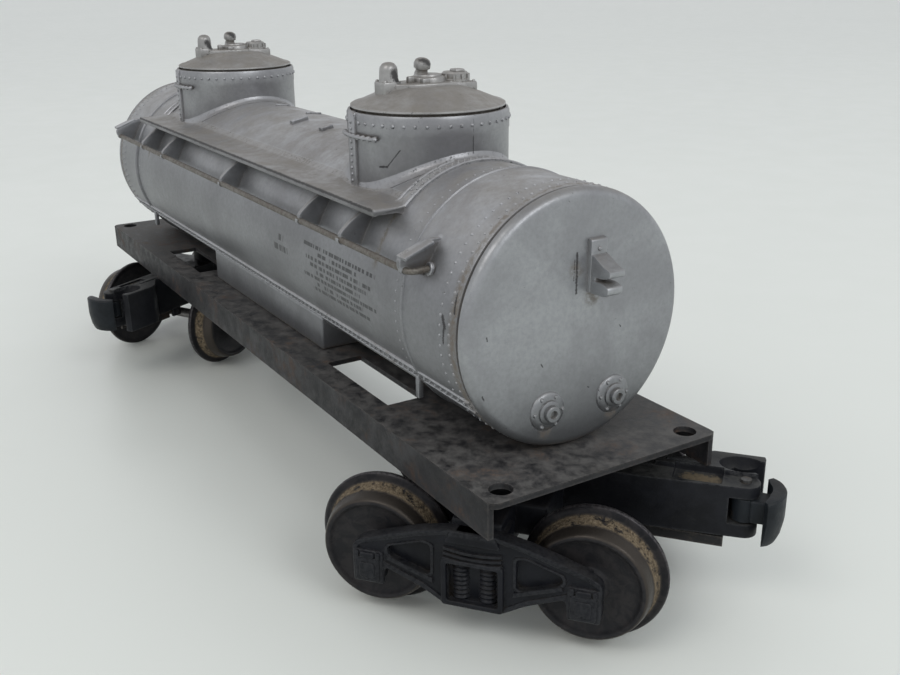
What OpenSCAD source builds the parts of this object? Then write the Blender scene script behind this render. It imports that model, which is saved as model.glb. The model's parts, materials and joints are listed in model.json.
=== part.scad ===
// Model tank wagon: a pressed-steel frame, a moulded twin-dome tank and two swivelling trucks
// with knuckle couplers. X runs along the wagon, Z is up, and Z = 0 is the floor it stands on.

/* [Frame] */
// Length of the side sills
frame_length = 187; // [186:0.5:192]
// Width over the side sills
frame_width = 41.4; // [41:0.1:43]
// Height of the deck's top face above the floor
deck_height = 28.5; // [28.5:0.1:30]
// Depth of the side sills, measured from the deck's top face
sill_depth = 5.7; // [5:0.1:5.7]
// Thickness of the sheet steel
sheet = 0.9; // [0.7:0.1:1]
// How far the deck runs past the sills at each end
deck_overhang = 0.8; // [0.4:0.1:1.2]
// Diameter of the hole in each corner of the deck
corner_hole_d = 3.5; // [3:0.1:4]
// Distance from a corner hole's centre to the sill's end
corner_hole_from_end = 2.4; // [2.4:0.1:3]
// Distance from a corner hole's centre to the sill's outer face
corner_hole_from_side = 3.7; // [3.4:0.1:4.5]

/* [Tank] */
// Outer radius of the tank
tank_r = 19.3; // [19:0.1:19.5]
// Wall thickness of the moulding
tank_wall = 1.7; // [1.5:0.1:1.9]
// Half the length of the tank's barrel, out to the joints with its end caps
barrel_half_length = 83.6; // [83:0.1:84]
// Thickness of an end cap outside the barrel
cap_thickness = 1.9; // [1.7:0.1:2.2]
// Distance of each dome from the middle of the wagon
dome_x = 44.5; // [43:0.5:45]
// Outer radius of a dome
dome_r = 13.4; // [13:0.1:13.6]
// Height of a dome's rim above the deck
dome_rim = 45.4; // [44.5:0.1:46]

/* [Walkway and handrail] */
// Half the length of a running board
board_half_length = 60.5; // [58:0.5:62]
// Distance of a running board's outer edge from the wagon's centre line
board_reach = 19.4; // [19:0.1:20]
// Height of a running board's top face above the deck
board_height = 33.4; // [33:0.1:34]
// Radius of the handrail wire
wire_r = 0.5; // [0.4:0.05:0.55]

/* [Trucks] */
// Distance of each truck pivot from the middle of the wagon
pivot_x = 70.5; // [69:0.1:71]
// Distance between the two axles of a truck
wheelbase = 33.3; // [32:0.1:34]
// Radius of the wheel flange
flange_r = 11; // [10.8:0.1:11.2]
// Radius of an axle
axle_r = 1.2; // [1.1:0.05:1.2]
// Angle that the near truck stands at
near_angle = 39; // [-180:0.5:180]
// Angle that the far truck stands at
far_angle = 118; // [-180:0.5:180]

/* [Hidden] */
$fn = 64;
eps = 0.05;              // overlap that joins two shapes of one piece
running_gap = 0.05;      // radial clearance of a pin in its bore
silver = "silver";
black = "#26272b";

near = 1;
far = -1;
left = -1;               // the -Y side
right = 1;

// Frame
deck_under = deck_height - sheet;
frame_half = frame_length / 2;
deck_corner_r = 1.6;
slot_x = [34.8, 57.5];           // opening in each quarter of the deck
slot_y = [9.7, 16.3];

// Tank
tank_z = deck_height + tank_r + 0.1;
bore_r = tank_r - tank_wall;
saddle_half = [28.5, 14.3];
saddle_top = 7.2;
strap_rise = 0.35;
strap_x = [57.4, 60.6];          // riveted strap over the crown beside each dome
strap_half_angle = 42;           // how far each strap runs down from the crown
course_x = [68.3, 68.8];         // raised edge of the end course of plates
course_half_angle = 120;
bracket_x = [0, 37.5, 53, 73];   // handrail brackets, measured from the middle
bracket_t = 1;
rail_y = 21.2;
rail_z = deck_height + 27.5;
rail_end_x = 74.6;
rail_bend_r = 1.2;

// End cap
end_face_x = barrel_half_length + cap_thickness;
cap_edge_r = 1.4;
spigot_depth = 3;                // how far a cap reaches into the barrel
plug_y = [-5.2, 6.9];
plug_z = deck_height + 6.7;

// Dome lid
dome_wall = 1.5;
lid_r = dome_r - 0.5;
lid_seat = deck_height + dome_rim;
lid_edge = 0.7;
lid_rise = 2.9;
lid_flat_r = 5.5;

// Truck, in its own frame: the coupler points along +X and the pivot is at X = Y = 0
axle_z = flange_r;
flange_y = 14.2;                 // back face of a wheel
wheel_face_y = 20;               // outer face of a wheel
tread_r = flange_r - 1.6;
side_y = [20.7, 22.7];           // side frame, inner and outer face
side_relief = 0.8;               // height of the raised parts of a side frame
side_top = 18.6;
bolster_half = 3.9;
bolster_z = [12.5, 19.6];
platform_half = [9, 13.5];        // wide plate on the bolster, between the wheels
platform_under = 14;
boss_r = 6;
boss_top = 25;
shank_half = 3.4;
coupler_z = [13.3, 22.3];
pin_r = 1.9;
pin_head_r = 3.6;
journal_end = 22.2;

// Knuckle
hinge = [36.4, -0.5];
hinge_pin_r = 0.8;
ear_r = 2.2;
slot_z = [15.5, 19.9];
hub_r = 1.9;
hub_gap = 0.3;                   // all round the hub in its slot
hook_r = [4, 6.1];
hook_z = [13.3, 21.1];

// Uncoupler flap
flap_hinge = [19.8, 12.3];
flap_pin_r = 0.45;
flap_end = 33.8;
flap_half = 2.2;
lug_y = [2.6, 3.4];

module frame_plate() {
    color(black)
    difference() {
        union() {
            deck_outline();
            for (side = [left, right])
                translate([-frame_half, side * (frame_width / 2 - sheet / 2) - sheet / 2,
                           deck_height - sill_depth])
                    cube([frame_length, sheet, sill_depth - eps]);
        }
        for (end = [near, far], side = [left, right])
            translate([end * (frame_half - corner_hole_from_end),
                       side * (frame_width / 2 - corner_hole_from_side), deck_under - 1])
                cylinder(d = corner_hole_d, h = 3);
        for (end = [near, far], side = [left, right]) deck_opening(end, side);
        for (end = [near, far]) {
            translate([end * pivot_x, 0, deck_under - 1]) cylinder(r = pin_r, h = 3);
            translate([end * 20, 0, deck_under - 1]) cylinder(r = 1.3, h = 3);
        }
    }
}

module deck_outline() {
    half_x = frame_half + deck_overhang - deck_corner_r;
    half_y = frame_width / 2 - deck_corner_r;
    translate([0, 0, deck_under]) {
        translate([-half_x, -frame_width / 2, 0]) cube([2 * half_x, frame_width, sheet]);
        translate([-half_x - deck_corner_r, -half_y, 0])
            cube([2 * (half_x + deck_corner_r), 2 * half_y, sheet]);
        for (x = [-half_x, half_x], y = [-half_y, half_y])
            translate([x, y, 0]) cylinder(r = deck_corner_r, h = sheet);
    }
}

module deck_opening(end, side) {
    size = [slot_x[1] - slot_x[0], slot_y[1] - slot_y[0], 3];
    centre = [end * (slot_x[0] + slot_x[1]) / 2, side * (slot_y[0] + slot_y[1]) / 2, deck_under - 1];
    translate(centre - [size[0] / 2, size[1] / 2, 0]) cube(size);
}

// Places its children on the tank's axis, with their Z turned to run along the wagon
module along_tank(x) {
    translate([x, 0, tank_z]) rotate([0, 90, 0]) children();
}

module tank_barrel() {
    color(silver)
    difference() {
        union() {
            along_tank(-barrel_half_length) cylinder(r = tank_r, h = 2 * barrel_half_length, $fn = 96);
            for (end = [near, far]) {
                band(end, strap_x, strap_rise, strap_half_angle);
                band(end, course_x, strap_rise * 0.6, course_half_angle);
                translate([end * dome_x, 0, tank_z]) cylinder(r = dome_r, h = lid_seat - tank_z, $fn = 96);
            }
            translate([-saddle_half[0], -saddle_half[1], deck_height])
                cube([2 * saddle_half[0], 2 * saddle_half[1], saddle_top]);
            for (side = [left, right]) {
                running_board(side);
                for (end = [near, far], x = bracket_x)
                    if (x > 0 || end == near) handrail_bracket(end * x, side);
            }
        }
        along_tank(-barrel_half_length - 1) cylinder(r = bore_r, h = 2 * barrel_half_length + 2, $fn = 96);
        for (end = [near, far]) {
            translate([end * dome_x, 0, tank_z])
                cylinder(r = dome_r - dome_wall, h = lid_seat - tank_z + 1, $fn = 96);
            translate([end * 20, 0, deck_height - 1]) cylinder(r = 1, h = 6);
        }
        for (side = [left, right], end = [near, far])
            translate([end * rail_end_x, side * (rail_y - 2), rail_z])
                rotate([side * 90, 0, 0]) cylinder(r = wire_r + running_gap, h = 6);
        for (side = [left, right])
            translate([-rail_end_x + 0.6, side * rail_y, rail_z])
                rotate([0, 90, 0]) cylinder(r = wire_r + running_gap, h = 2 * rail_end_x - 1.2, $fn = 24);
    }
}

// A raised band over the crown, reaching down by the half angle on both sides
module band(end, span, rise, half_angle) {
    width = span[1] - span[0];
    along_tank(end * (span[0] + span[1]) / 2 - width / 2)
        rotate([0, 0, 180 - half_angle])
            rotate_extrude(angle = 2 * half_angle, $fn = 96)
                translate([bore_r, 0]) square([tank_r + rise - bore_r, width]);
}

module running_board(side) {
    inner = bore_r * 0.75;
    translate([-board_half_length, side > 0 ? inner : -board_reach, deck_height + board_height - 1.1])
        cube([2 * board_half_length, board_reach - inner, 1.1]);
}

// A triangular plate from the tank's flank out to the wire
module handrail_bracket(x, side) {
    translate([x - bracket_t / 2, 0, deck_height])
        rotate([90, 0, 90]) linear_extrude(height = bracket_t)
            polygon([[side * 13.5, 31.6], [side * 16.4, 32.4], [side * 22, 28.4], [side * 22.1, 26.7],
                     [side * 21.2, 26.2], [side * 18, 25.6]]);
}

module tank_end(end) {
    color(silver)
    mirror([end < 0 ? 1 : 0, 0, 0]) mirror([0, end < 0 ? 1 : 0, 0]) {
        along_tank(barrel_half_length) rotate_extrude($fn = 96) cap_profile();
        for (y = plug_y) translate([end_face_x - eps, y, plug_z]) rotate([0, 90, 0]) washout_plug();
        end_bracket();
    }
}

// Half section of an end cap: radius across, thickness up, with a rounded edge
module cap_profile() {
    square([tank_r - cap_edge_r, cap_thickness]);
    square([tank_r, cap_thickness - cap_edge_r]);
    translate([tank_r - cap_edge_r, cap_thickness - cap_edge_r])
        intersection() {
            circle(r = cap_edge_r);
            square(cap_edge_r);
        }
    translate([0, -spigot_depth]) square([bore_r, spigot_depth + eps]);
}

module washout_plug() {
    cylinder(r = 3, h = 0.6);
    cylinder(r = 1.8, h = 1);
    cylinder(r = 1.25, h = 1.8);
}

// The bracket on the end: a riveted plate with an upper and a lower arm, from the side
module end_bracket() {
    width = 2.9;
    translate([end_face_x - eps, 1.4 + width, deck_height])
        rotate([90, 0, 0]) linear_extrude(height = width)
            polygon([[0, 23.6], [0.6, 23.5], [4, 23.9], [4.5, 25], [2.8, 25.5], [2.8, 26.4],
                     [4.9, 26.6], [4.9, 27.6], [1.2, 28.9], [1.2, 31.3], [0, 31.3]]);
}

module dome_lid(end) {
    color(silver)
    translate([end * dome_x, 0, lid_seat]) {
        translate([0, 0, -1.4]) cylinder(r = dome_r - dome_wall, h = 1.4 + eps);
        cylinder(r = lid_r, h = lid_edge);
        translate([0, 0, lid_edge - eps]) cylinder(r1 = lid_r, r2 = lid_flat_r, h = lid_rise);
        lid_fittings();
    }
}

// Valves and covers on top of a lid, side by side across the wagon
module lid_fittings() {
    plate_z = 2.2;
    plate_top = 4;
    translate([-4.2, -7.4, plate_z]) cube([7.4, 13.6, plate_top - plate_z]);
    translate([-3.3, -8.3, plate_z]) cube([3.8, 3.6, plate_top - plate_z + 0.3]);
    translate([-1.4, -6.5, plate_top]) cylinder(r = 1.35, h = 2.4);
    translate([-1.4, -6.5, plate_top + 2.4]) sphere(r = 1.35, $fn = 32);
    translate([-0.8, 0.6, plate_top - eps]) cylinder(r = 3.1, h = 0.8);
    translate([-1.8, 0, plate_top]) rotate([0, 12, 0]) cylinder(r = 1.3, h = 3.6);
    translate([0.2, 5.2, plate_z]) translate([-2.8, -2.8, 0]) cube([5.6, 5.6, 1.6]);
    translate([0.2, 5.2, plate_z]) cylinder(r = 2.3, h = 3.1);
}

module handrail(side) {
    straight = rail_end_x - rail_bend_r;
    color(silver)
    translate([0, side * rail_y, rail_z]) {
        translate([-straight, 0, 0]) rotate([0, 90, 0]) cylinder(r = wire_r, h = 2 * straight, $fn = 24);
        for (end = [near, far]) {
            translate([end * straight, -side * rail_bend_r, 0]) rotate([0, 0, bend_start(end, side)])
                rotate_extrude(angle = 90, $fn = 48) translate([rail_bend_r, 0]) circle(r = wire_r, $fn = 24);
            translate([end * rail_end_x, -side * rail_bend_r, 0])
                rotate([side * 90, 0, 0]) cylinder(r = wire_r, h = 3.2, $fn = 24);
        }
    }
}

// First angle of the quarter turn that joins the straight wire to its bent end
function bend_start(end, side) = side > 0 ? (end > 0 ? 0 : 90) : (end > 0 ? 270 : 180);

module tank_screws() {
    color("gray")
    for (end = [near, far]) translate([end * 20, 0, 0]) {
        translate([0, 0, deck_under - 1.3]) cylinder(r = 2.4, h = 1.3);
        translate([0, 0, deck_under - eps]) cylinder(r = 1, h = sheet + 4.5);
    }
}

module pivot_pin(end) {
    color("gray")
    translate([end * pivot_x, 0, 0]) {
        translate([0, 0, bolster_z[0] - 1.3]) cylinder(r = pin_head_r, h = 1);
        translate([0, 0, bolster_z[0] - 0.4]) cylinder(r = pin_r, h = deck_height - bolster_z[0] + 0.4);
    }
}

module pivot_washer(end) {
    color("gray")
    translate([end * pivot_x, 0, boss_top + 0.3])
        difference() {
            cylinder(r = 5.2, h = deck_under - boss_top - 0.3);
            translate([0, 0, -1]) cylinder(r = pin_r, h = deck_under - boss_top + 2);
        }
}

// Puts a truck's piece under its pivot, turned to the angle that the truck stands at
module at_truck(end) {
    translate([end * pivot_x, 0, 0]) rotate([0, 0, end > 0 ? near_angle : 180 + far_angle]) children();
}

module truck_frame(end) {
    color(black)
    at_truck(end)
    difference() {
        union() {
            for (side = [left, right]) side_frame(side);
            translate([-bolster_half, -side_y[0] - eps, bolster_z[0]])
                cube([2 * bolster_half, 2 * (side_y[0] + eps), bolster_z[1] - bolster_z[0]]);
            translate([-platform_half[0], -platform_half[1], platform_under])
                cube([2 * platform_half[0], 2 * platform_half[1], bolster_z[1] - platform_under]);
            translate([0, 0, bolster_z[0]]) cylinder(r = boss_r, h = boss_top - bolster_z[0]);
            coupler_body();
            flap_lugs();
        }
        translate([0, 0, bolster_z[0] - 1]) cylinder(r = pin_r + running_gap, h = 15);
        for (x = [-wheelbase / 2, wheelbase / 2])
            translate([x, -journal_end - 0.2, axle_z]) rotate([-90, 0, 0])
                cylinder(r = axle_r + running_gap, h = 2 * (journal_end + 0.2));
        translate([hinge[0], hinge[1], coupler_z[0] - 1]) cylinder(r = hinge_pin_r, h = 12);
        translate([flap_hinge[0], -shank_half - 1, flap_hinge[1]]) rotate([-90, 0, 0])
            cylinder(r = flap_pin_r, h = 2 * shank_half + 2, $fn = 32);
    }
}

// One side frame: a truss plate with raised journal boxes and a sunk spring box
module side_frame(side) {
    translate([0, side * side_y[0], 0]) mirror([0, side < 0 ? 1 : 0, 0]) {
        difference() {
            rotate([90, 0, 0]) translate([0, 0, -(side_y[1] - side_y[0])])
                linear_extrude(height = side_y[1] - side_y[0]) side_outline();
            for (s = [-1, 1]) mirror([s < 0 ? 1 : 0, 0, 0])
                rotate([90, 0, 0]) translate([0, 0, -(side_y[1] - side_y[0]) - 1])
                    linear_extrude(height = 2) polygon([[6.3, 9.6], [6.3, 15.9], [13, 14.2], [13.4, 12.3]]);
        }
        for (s = [-1, 1]) translate([s * wheelbase / 2 - 2.4, 0, 7.3])
            cube([4.8, side_y[1] - side_y[0] + side_relief, 5.4]);
        spring_box();
    }
}

module side_outline() {
    half = [[0, 5.7], [4.3, 5.7], [8, 7.9], [14, 10.3], [14.3, 7.4], [19.2, 7.4], [19.2, 13.6],
            [17.5, 14.6], [13.2, 16], [8.4, 17.5], [3.4, side_top], [0, side_top]];
    polygon(half);
    mirror([1, 0]) polygon(half);
}

// Border, two spring columns and the leaf springs above them, in the middle of a side frame
module spring_box() {
    reach = side_y[1] - side_y[0] + side_relief;
    for (x = [-4.8, 4]) translate([x, 0, 6.2]) cube([0.8, reach, 7.8]);
    translate([-4.8, 0, 6.2]) cube([9.6, reach, 0.8]);
    translate([-4.4, 0, 13.3]) cube([8.8, reach, 2.2]);
    for (x = [-2.1, 2.1])
        translate([x, side_y[1] - side_y[0] - 0.6, 6.8]) cylinder(r = 1.3, h = 6.6, $fn = 32);
}

// Shank, ears and guard arm of the coupler, seen in plan and raised to its height
module coupler_body() {
    height = coupler_z[1] - coupler_z[0];
    translate([0, 0, coupler_z[0]]) difference() {
        union() {
            translate([0, -shank_half, 0]) cube([26, 2 * shank_half, height]);
            linear_extrude(height = height)
                polygon([[22, -shank_half], [hinge[0], hinge[1] - ear_r], [hinge[0], hinge[1] + ear_r],
                         [33.2, 3.4], [34, 5.4], [38.9, 5.5], [38.9, 7.2], [30.5, 7.2],
                         [26, shank_half], [22, shank_half]]);
            translate([hinge[0], hinge[1], 0]) cylinder(r = ear_r, h = height);
        }
        translate([hinge[0] - hub_r - hub_gap, hinge[1] - ear_r - 1, slot_z[0] - coupler_z[0]])
            cube([hub_r + hub_gap + ear_r + 1, ear_r + 1 + hub_r + hub_gap, slot_z[1] - slot_z[0]]);
    }
}

// Two lugs under the shank that carry the flap's pin
module flap_lugs() {
    for (side = [left, right])
        translate([flap_hinge[0] - 1.3, side > 0 ? lug_y[0] : -lug_y[1], flap_hinge[1] - 1])
            cube([2.6, lug_y[1] - lug_y[0], coupler_z[0] - flap_hinge[1] + 1 + eps]);
}

module knuckle_pin(end) {
    color("gray")
    at_truck(end) translate([hinge[0], hinge[1], coupler_z[0]])
        cylinder(r = hinge_pin_r, h = coupler_z[1] - coupler_z[0]);
}

module knuckle(end) {
    arm_z = [slot_z[0] + hub_gap, slot_z[1] - hub_gap];
    mid_r = (hook_r[0] + hook_r[1]) / 2;
    color(black)
    at_truck(end) translate([hinge[0], hinge[1], 0])
    difference() {
        union() {
            translate([0, 0, arm_z[0]]) {
                cylinder(r = hub_r, h = arm_z[1] - arm_z[0]);
                translate([0, -hub_r, 0]) cube([mid_r, 2 * hub_r, arm_z[1] - arm_z[0]]);
            }
            translate([0, 0, hook_z[0]]) rotate([0, 0, -40])
                rotate_extrude(angle = 86) translate([hook_r[0], 0])
                    square([hook_r[1] - hook_r[0], hook_z[1] - hook_z[0]]);
        }
        translate([0, 0, arm_z[0] - 1])
            cylinder(r = hinge_pin_r + running_gap, h = arm_z[1] - arm_z[0] + 2);
    }
}

module uncoupler_flap(end) {
    top = coupler_z[0] - 0.6;
    start = flap_hinge[0] + 0.6;
    color("dimgray")
    at_truck(end)
    difference() {
        union() {
            translate([flap_hinge[0], -flap_half, flap_hinge[1]]) rotate([-90, 0, 0])
                cylinder(r = 0.9, h = 2 * flap_half, $fn = 32);
            translate([start, -flap_half, top - 0.6]) cube([flap_end - start, 2 * flap_half, 0.6]);
            for (y = [-flap_half, flap_half - 0.5])
                translate([start + 1, y, top - 1.7]) cube([flap_end - start - 1, 0.5, 1.7]);
        }
        translate([flap_hinge[0], -flap_half - 1, flap_hinge[1]]) rotate([-90, 0, 0])
            cylinder(r = flap_pin_r + running_gap, h = 2 * flap_half + 2, $fn = 32);
    }
}

module flap_pin(end) {
    color("gray")
    at_truck(end) translate([flap_hinge[0], -lug_y[1], flap_hinge[1]]) rotate([-90, 0, 0])
        cylinder(r = flap_pin_r, h = 2 * lug_y[1], $fn = 32);
}

// The outer axle is the one under the coupler
module axle(end, row) {
    color("gray")
    at_truck(end) translate([row * wheelbase / 2, -journal_end, axle_z]) rotate([-90, 0, 0])
        cylinder(r = axle_r, h = 2 * journal_end);
}

module wheel(end, row, side) {
    color(black)
    at_truck(end) translate([row * wheelbase / 2, 0, axle_z]) rotate([side > 0 ? -90 : 90, 0, 0])
        translate([0, 0, flange_y])
            difference() {
                rotate_extrude($fn = 96) wheel_profile();
                translate([0, 0, -1]) cylinder(r = axle_r, h = wheel_face_y - flange_y + 2);
            }
}

// Half section of a wheel: radius across, width up from the back face
module wheel_profile() {
    width = wheel_face_y - flange_y;
    polygon([[0, 0], [flange_r - 0.5, 0], [flange_r, 0.5], [flange_r, 0.9], [flange_r - 0.6, 1.4],
             [tread_r, 1.7], [tread_r - 0.8, width], [tread_r - 1.7, width], [tread_r - 2.3, width - 0.8],
             [3, width - 1.2], [2.6, width - 0.3], [0, width - 0.3]]);
}

frame_plate();
tank_barrel();
tank_end(near);  // tank_end_near
tank_end(far);  // tank_end_far
dome_lid(near);  // dome_lid_near
dome_lid(far);  // dome_lid_far
handrail(left);  // handrail_left
handrail(right);  // handrail_right
tank_screws();
pivot_pin(near);  // pivot_pin_near
pivot_pin(far);  // pivot_pin_far
pivot_washer(near);  // pivot_washer_near
pivot_washer(far);  // pivot_washer_far
truck_frame(near);  // truck_frame_near
truck_frame(far);  // truck_frame_far
axle(near, 1);  // axle_near_outer
axle(near, -1);  // axle_near_inner
axle(far, 1);  // axle_far_outer
axle(far, -1);  // axle_far_inner
wheel(near, 1, left);  // wheel_near_outer_left
wheel(near, 1, right);  // wheel_near_outer_right
wheel(near, -1, left);  // wheel_near_inner_left
wheel(near, -1, right);  // wheel_near_inner_right
wheel(far, 1, left);  // wheel_far_outer_left
wheel(far, 1, right);  // wheel_far_outer_right
wheel(far, -1, left);  // wheel_far_inner_left
wheel(far, -1, right);  // wheel_far_inner_right
knuckle(near);  // knuckle_near
knuckle(far);  // knuckle_far
knuckle_pin(near);  // knuckle_pin_near
knuckle_pin(far);  // knuckle_pin_far
uncoupler_flap(near);  // uncoupler_flap_near
uncoupler_flap(far);  // uncoupler_flap_far
flap_pin(near);  // flap_pin_near
flap_pin(far);  // flap_pin_far
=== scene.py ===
import json
import math
import random

import bmesh
import bpy
from mathutils import Matrix, Vector


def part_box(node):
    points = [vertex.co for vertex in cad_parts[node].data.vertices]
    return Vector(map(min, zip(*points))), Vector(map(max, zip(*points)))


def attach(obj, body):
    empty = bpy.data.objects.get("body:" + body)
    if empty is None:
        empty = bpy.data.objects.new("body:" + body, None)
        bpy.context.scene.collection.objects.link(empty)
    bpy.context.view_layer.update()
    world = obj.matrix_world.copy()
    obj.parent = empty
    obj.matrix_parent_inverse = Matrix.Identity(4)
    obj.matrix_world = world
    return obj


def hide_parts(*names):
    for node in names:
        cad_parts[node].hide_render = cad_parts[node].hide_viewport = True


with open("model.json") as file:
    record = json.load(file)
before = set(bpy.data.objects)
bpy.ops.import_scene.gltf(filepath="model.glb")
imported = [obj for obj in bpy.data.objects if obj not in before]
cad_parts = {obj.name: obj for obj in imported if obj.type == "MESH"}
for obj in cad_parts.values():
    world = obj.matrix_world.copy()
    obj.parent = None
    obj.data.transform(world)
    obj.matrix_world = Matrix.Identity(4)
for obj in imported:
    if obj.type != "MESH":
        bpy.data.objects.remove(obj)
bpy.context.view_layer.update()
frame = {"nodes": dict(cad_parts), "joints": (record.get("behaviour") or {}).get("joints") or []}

# The looks of a model tank wagon. Lengths are in millimetres, apart from the stage's, which are in
# metres. Pieces are built in the part's frame: X along the wagon, Z up, the floor at Z = 0. A
# truck's pieces are built in the truck's own frame, with the coupler along +X, and then placed.
MM = 0.001
JOINTS = {joint["name"]: joint for joint in frame["joints"]}
ENDS = {"near": 1, "far": -1}
SIDES = {"left": -1, "right": 1}


def box_mm(node):
    low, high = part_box(node)
    return low / MM, high / MM


def joint_mm(name):
    return Vector(JOINTS[name]["pos_m"]) / MM


# ---------------------------------------------------------------- places, from the CAD model
DECK = box_mm("frame_plate")[1].z
END_LOW, END_HIGH = box_mm("tank_end_near")
TANK_Z = (END_LOW.z + END_HIGH.z) / 2
TANK_R = (END_HIGH.z - END_LOW.z) / 2
TANK_HALF = box_mm("tank_barrel")[1].x
END_FACE = TANK_HALF + 1.9
LID_LOW, LID_HIGH = box_mm("dome_lid_near")
DOME_X = (LID_LOW.x + LID_HIGH.x) / 2
LID_R = (LID_HIGH.x - LID_LOW.x) / 2
DOME_R = LID_R + 0.5
LID_SEAT = LID_LOW.z + 1.4
RAIL_LOW, RAIL_HIGH = box_mm("handrail_left")
WIRE_R = (RAIL_HIGH.z - RAIL_LOW.z) / 2
RAIL_Y = -RAIL_LOW.y - WIRE_R
RAIL_Z = (RAIL_LOW.z + RAIL_HIGH.z) / 2
RAIL_END_X = RAIL_HIGH.x - WIRE_R
AXLE_Z = joint_mm("wheelset_near_outer_spin").z
HALF_BASE = (joint_mm("wheelset_near_outer_spin") - joint_mm("wheelset_near_inner_spin")).length / 2
COUPLER_LOW = box_mm("knuckle_pin_near")[0].z
COUPLER_TOP = box_mm("knuckle_pin_near")[1].z

BOARD_HALF = 60.5
BOARD_REACH = 19.4
BOARD_TOP = DECK + 33.4

TANK_PLACE = Matrix(((0, 0, 1, 0), (1, 0, 0, 0), (0, 1, 0, TANK_Z), (0, 0, 0, 1)))
HALF_TURN = Matrix.Rotation(math.pi, 4, "Z")
HERE = Matrix.Identity(4)


def truck_place(end):
    """The truck's own frame: pivot at the origin, coupler along +X."""
    pivot = joint_mm(f"truck_{end}_swivel")
    ahead = joint_mm(f"wheelset_{end}_outer_spin") - pivot
    turn = Matrix.Rotation(math.atan2(ahead.y, ahead.x), 4, "Z")
    return moved(pivot.x, pivot.y) @ turn


# ---------------------------------------------------------------- shapes
def moved(x=0.0, y=0.0, z=0.0):
    """A place that far from the origin."""
    return Matrix.Translation((x, y, z))


def round_point(radius, degrees, z=0.0):
    """A point on a circle about Z, at an angle from +X."""
    turn = math.radians(degrees)
    return (radius * math.cos(turn), radius * math.sin(turn), z)


def linked(name, data):
    """A new object in the scene."""
    made = bpy.data.objects.new(name, data)
    bpy.context.scene.collection.objects.link(made)
    return made


def soften(held, width, segments, degrees):
    """Rounds an object's edges that are sharper than so many degrees."""
    bevel = held.modifiers.new("edge", "BEVEL")
    bevel.width = width
    bevel.segments = segments
    bevel.limit_method = "ANGLE"
    bevel.angle_limit = math.radians(degrees)
    return bevel


def shape_from(mesh):
    shape = bmesh.new()
    shape.from_mesh(mesh)
    bpy.data.meshes.remove(mesh)
    return shape


def closed_up(shape):
    """Joins points that lie together and turns every face outward."""
    bmesh.ops.remove_doubles(shape, verts=shape.verts, dist=0.0005)
    bmesh.ops.recalc_face_normals(shape, faces=shape.faces)
    return shape


def skin(rows, close_rows=False, close_columns=False, caps=False):
    """Four-sided faces between rows of points."""
    shape = bmesh.new()
    grid = [[shape.verts.new(point) for point in row] for row in rows]
    for i in range(len(grid) if close_rows else len(grid) - 1):
        one, two = grid[i], grid[(i + 1) % len(grid)]
        for j in range(len(one) if close_columns else len(one) - 1):
            k = (j + 1) % len(one)
            shape.faces.new((one[j], one[k], two[k], two[j]))
    if caps:
        shape.faces.new(grid[0])
        shape.faces.new(reversed(grid[-1]))
    return closed_up(shape)


def turned(profile, steps=48, ring=False, start=0.0, sweep=360.0):
    """A profile of (radius, height) turned about Z. A part turn is capped at both ends."""
    whole = sweep >= 360.0
    count = steps if whole else steps + 1
    rows = []
    for i in range(count):
        rows.append([round_point(r, start + sweep * i / steps, h) for r, h in profile])
    return skin(rows, close_rows=whole, close_columns=ring, caps=ring and not whole)


def smooth_corners(outline, radius, steps=4):
    """Rounds the corners of a flat outline."""
    points = []
    for i, corner in enumerate(outline):
        here = Vector(corner)
        before = Vector(outline[i - 1]) - here
        after = Vector(outline[(i + 1) % len(outline)]) - here
        reach = min(radius, before.length * 0.45, after.length * 0.45)
        a, b = here + before.normalized() * reach, here + after.normalized() * reach
        for k in range(steps + 1):
            t = k / steps
            points.append(tuple(a.lerp(here, t).lerp(here.lerp(b, t), t)))
    return points


def plate(outlines, low, high, edge=0.2, steps=1):
    """A flat plate with rounded edges, between two heights. Inner outlines are openings."""
    curve = bpy.data.curves.new("plate", "CURVE")
    curve.dimensions = "2D"
    curve.fill_mode = "BOTH"
    curve.extrude = (high - low) / 2 - edge
    curve.bevel_depth = edge
    curve.bevel_resolution = steps
    curve.offset = -edge
    for outline in outlines:
        spline = curve.splines.new("POLY")
        spline.points.add(len(outline) - 1)
        for point, (x, y) in zip(spline.points, outline):
            point.co = (x, y, 0, 1)
        spline.use_cyclic_u = True
    holder = bpy.data.objects.new("plate", curve)
    shape = shape_from(bpy.data.meshes.new_from_object(holder))
    bpy.data.objects.remove(holder)
    bpy.data.curves.remove(curve)
    bmesh.ops.translate(shape, verts=shape.verts, vec=(0, 0, (low + high) / 2))
    return closed_up(shape)


def rectangle(x0, x1, y0, y1, corner=0.0):
    outline = [(x0, y0), (x1, y0), (x1, y1), (x0, y1)]
    return smooth_corners(outline, corner) if corner else outline


def block(x0, x1, y0, y1, z0, z1, edge=0.2, steps=2):
    """A box with rounded edges."""
    shape = bmesh.new()
    bmesh.ops.create_cube(shape, size=1)
    bmesh.ops.scale(shape, verts=shape.verts, vec=(x1 - x0, y1 - y0, z1 - z0))
    bmesh.ops.translate(shape, verts=shape.verts, vec=((x0 + x1) / 2, (y0 + y1) / 2, (z0 + z1) / 2))
    bmesh.ops.bevel(shape, geom=shape.edges[:], offset=edge, segments=steps, affect="EDGES", profile=0.5)
    return closed_up(shape)


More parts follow.
